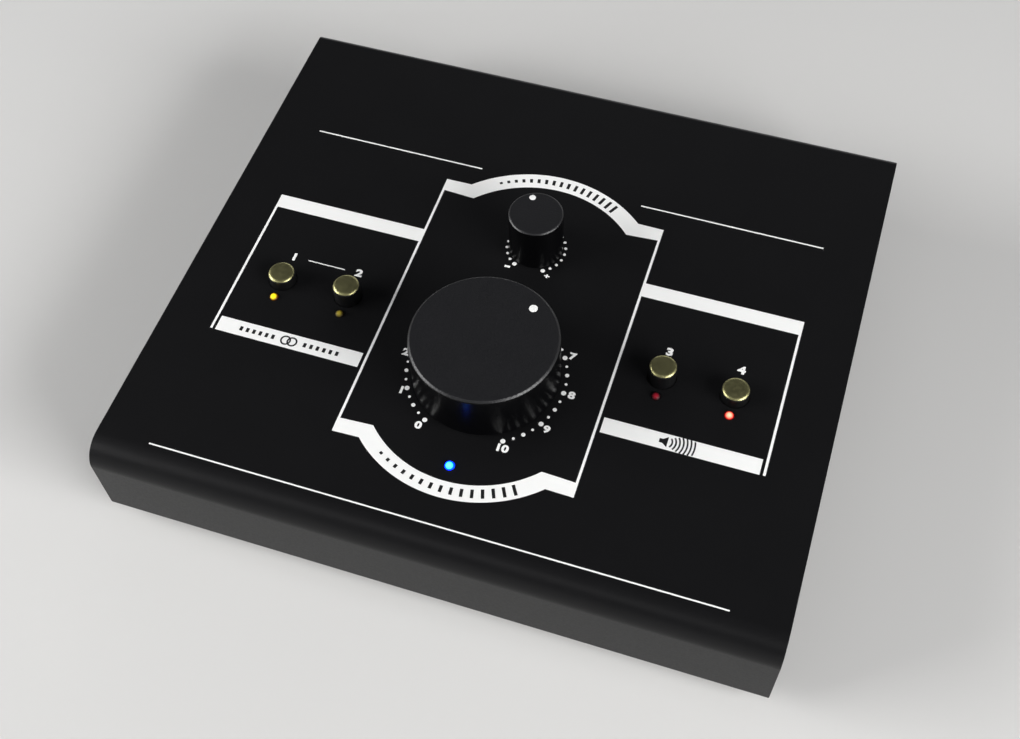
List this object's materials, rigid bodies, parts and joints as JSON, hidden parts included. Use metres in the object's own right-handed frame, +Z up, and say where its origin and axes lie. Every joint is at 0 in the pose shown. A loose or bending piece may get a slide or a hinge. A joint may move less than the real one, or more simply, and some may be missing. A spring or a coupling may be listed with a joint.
{
  "type": "studio monitor controller",
  "caption": "Low black desktop audio controller with a large master knob, a small level knob, latching push buttons, indicator lamps and rear connectors.",
  "frame": {"origin": "middle of the footprint, on the surface that the feet stand on", "axes": "+Z up, the operator on the -Y side, connectors on the +Y side, +X to the operator's right"},
  "size_m": [0.215, 0.192, 0.0578],
  "materials": {
    "case_steel": "fine-texture black powder coat",
    "knob_aluminium": "turned, black anodised, satin top",
    "marker_white": "white filled",
    "cap_metallised": "champagne metallised, polished",
    "black_moulding": "moulded, satin",
    "plated_steel": "nickel plated",
    "black_screw": "black oxide",
    "rubber_black": "moulded rubber",
    "circuit_board": "green solder mask over glass epoxy",
    "relay_case": "moulded, pale",
    "capacitor_sleeve": "shrunk sleeve",
    "pot_plated": "pressed and plated",
    "lamp_yellow_lit": "clear epoxy, lit",
    "lamp_yellow": "diffused epoxy",
    "lamp_red": "diffused epoxy",
    "lamp_red_lit": "clear epoxy, lit",
    "lamp_blue_lit": "clear epoxy, lit"
  },
  "bodies": {
    "case": {"top_cover": "case_steel", "base_tray": "case_steel", "rear_panel": "case_steel", "rubber_feet": "rubber_black", "foot_screws": "black_screw", "base_screws": "black_screw", "rear_screws": "black_screw", "main_board": "circuit_board", "board_standoffs": "plated_steel", "board_screws": "plated_steel", "control_board": "circuit_board", "control_standoffs": "plated_steel", "control_screws": "plated_steel", "link_header": "black_moulding", "link_socket": "black_moulding", "relays": "relay_case", "capacitors": "capacitor_sleeve", "amplifier_chips": "black_moulding", "volume_pot": "pot_plated", "volume_pot_nut": "plated_steel", "headphone_pot": "pot_plated", "headphone_pot_nut": "plated_steel", "led_1": "lamp_yellow_lit", "led_2": "lamp_yellow", "led_3": "lamp_red", "led_4": "lamp_red_lit", "power_led": "lamp_blue_lit", "led_spacers": "black_moulding", "dsub_jackscrews": "plated_steel", "jack_nuts": "plated_steel", "dc_inlet": "black_moulding", "dc_pin": "plated_steel", "power_switch_body": "black_moulding", "switch_housing_1": "black_moulding", "switch_housing_2": "black_moulding", "switch_housing_3": "black_moulding", "switch_housing_4": "black_moulding", "dsub_shell_1": "plated_steel", "dsub_insulator_1": "black_moulding", "dsub_shell_2": "plated_steel", "dsub_insulator_2": "black_moulding", "jack_1": "black_moulding", "jack_2": "black_moulding", "jack_3": "black_moulding"},
    "volume_control": {"volume_knob": "knob_aluminium", "volume_marker": "marker_white", "volume_set_screw": "black_screw", "volume_shaft": "plated_steel"},
    "headphone_control": {"headphone_knob": "knob_aluminium", "headphone_marker": "marker_white", "headphone_shaft": "plated_steel"},
    "power_rocker": {"power_rocker": "black_moulding"},
    "button_1": {"button_cap_1": "cap_metallised", "button_plunger_1": "black_moulding"},
    "button_2": {"button_cap_2": "cap_metallised", "button_plunger_2": "black_moulding"},
    "button_3": {"button_cap_3": "cap_metallised", "button_plunger_3": "black_moulding"},
    "button_4": {"button_cap_4": "cap_metallised", "button_plunger_4": "black_moulding"}
  },
  "joints": [
    {"name": "volume_turn", "type": "hinge", "parent": "case", "child": "volume_control", "pos_m": [0, -0.0322, 0.0379], "axis": [0, 0, 1], "range_deg": [-112.6, 187.4]},
    {"name": "headphone_turn", "type": "hinge", "parent": "case", "child": "headphone_control", "pos_m": [0, 0.0194, 0.0379], "axis": [0, 0, 1], "range_deg": [-176.7, 123.3]},
    {"name": "button_1_push", "type": "slide", "parent": "case", "child": "button_1", "axis": [0, 0, -1], "range_m": [-0.0022, 0.0008], "stiffness_N_per_m": 350},
    {"name": "button_2_push", "type": "slide", "parent": "case", "child": "button_2", "axis": [0, 0, -1], "range_m": [0, 0.003], "stiffness_N_per_m": 350, "springref_m": -0.002},
    {"name": "button_3_push", "type": "slide", "parent": "case", "child": "button_3", "axis": [0, 0, -1], "range_m": [0, 0.003], "stiffness_N_per_m": 350, "springref_m": -0.002},
    {"name": "button_4_push", "type": "slide", "parent": "case", "child": "button_4", "axis": [0, 0, -1], "range_m": [-0.0022, 0.0008], "stiffness_N_per_m": 350},
    {"name": "power_rock", "type": "hinge", "parent": "case", "child": "power_rocker", "pos_m": [0.09051, 0.0915, 0.0218], "axis": [0, 0, 1], "range_deg": [-16, 0]}
  ]
}
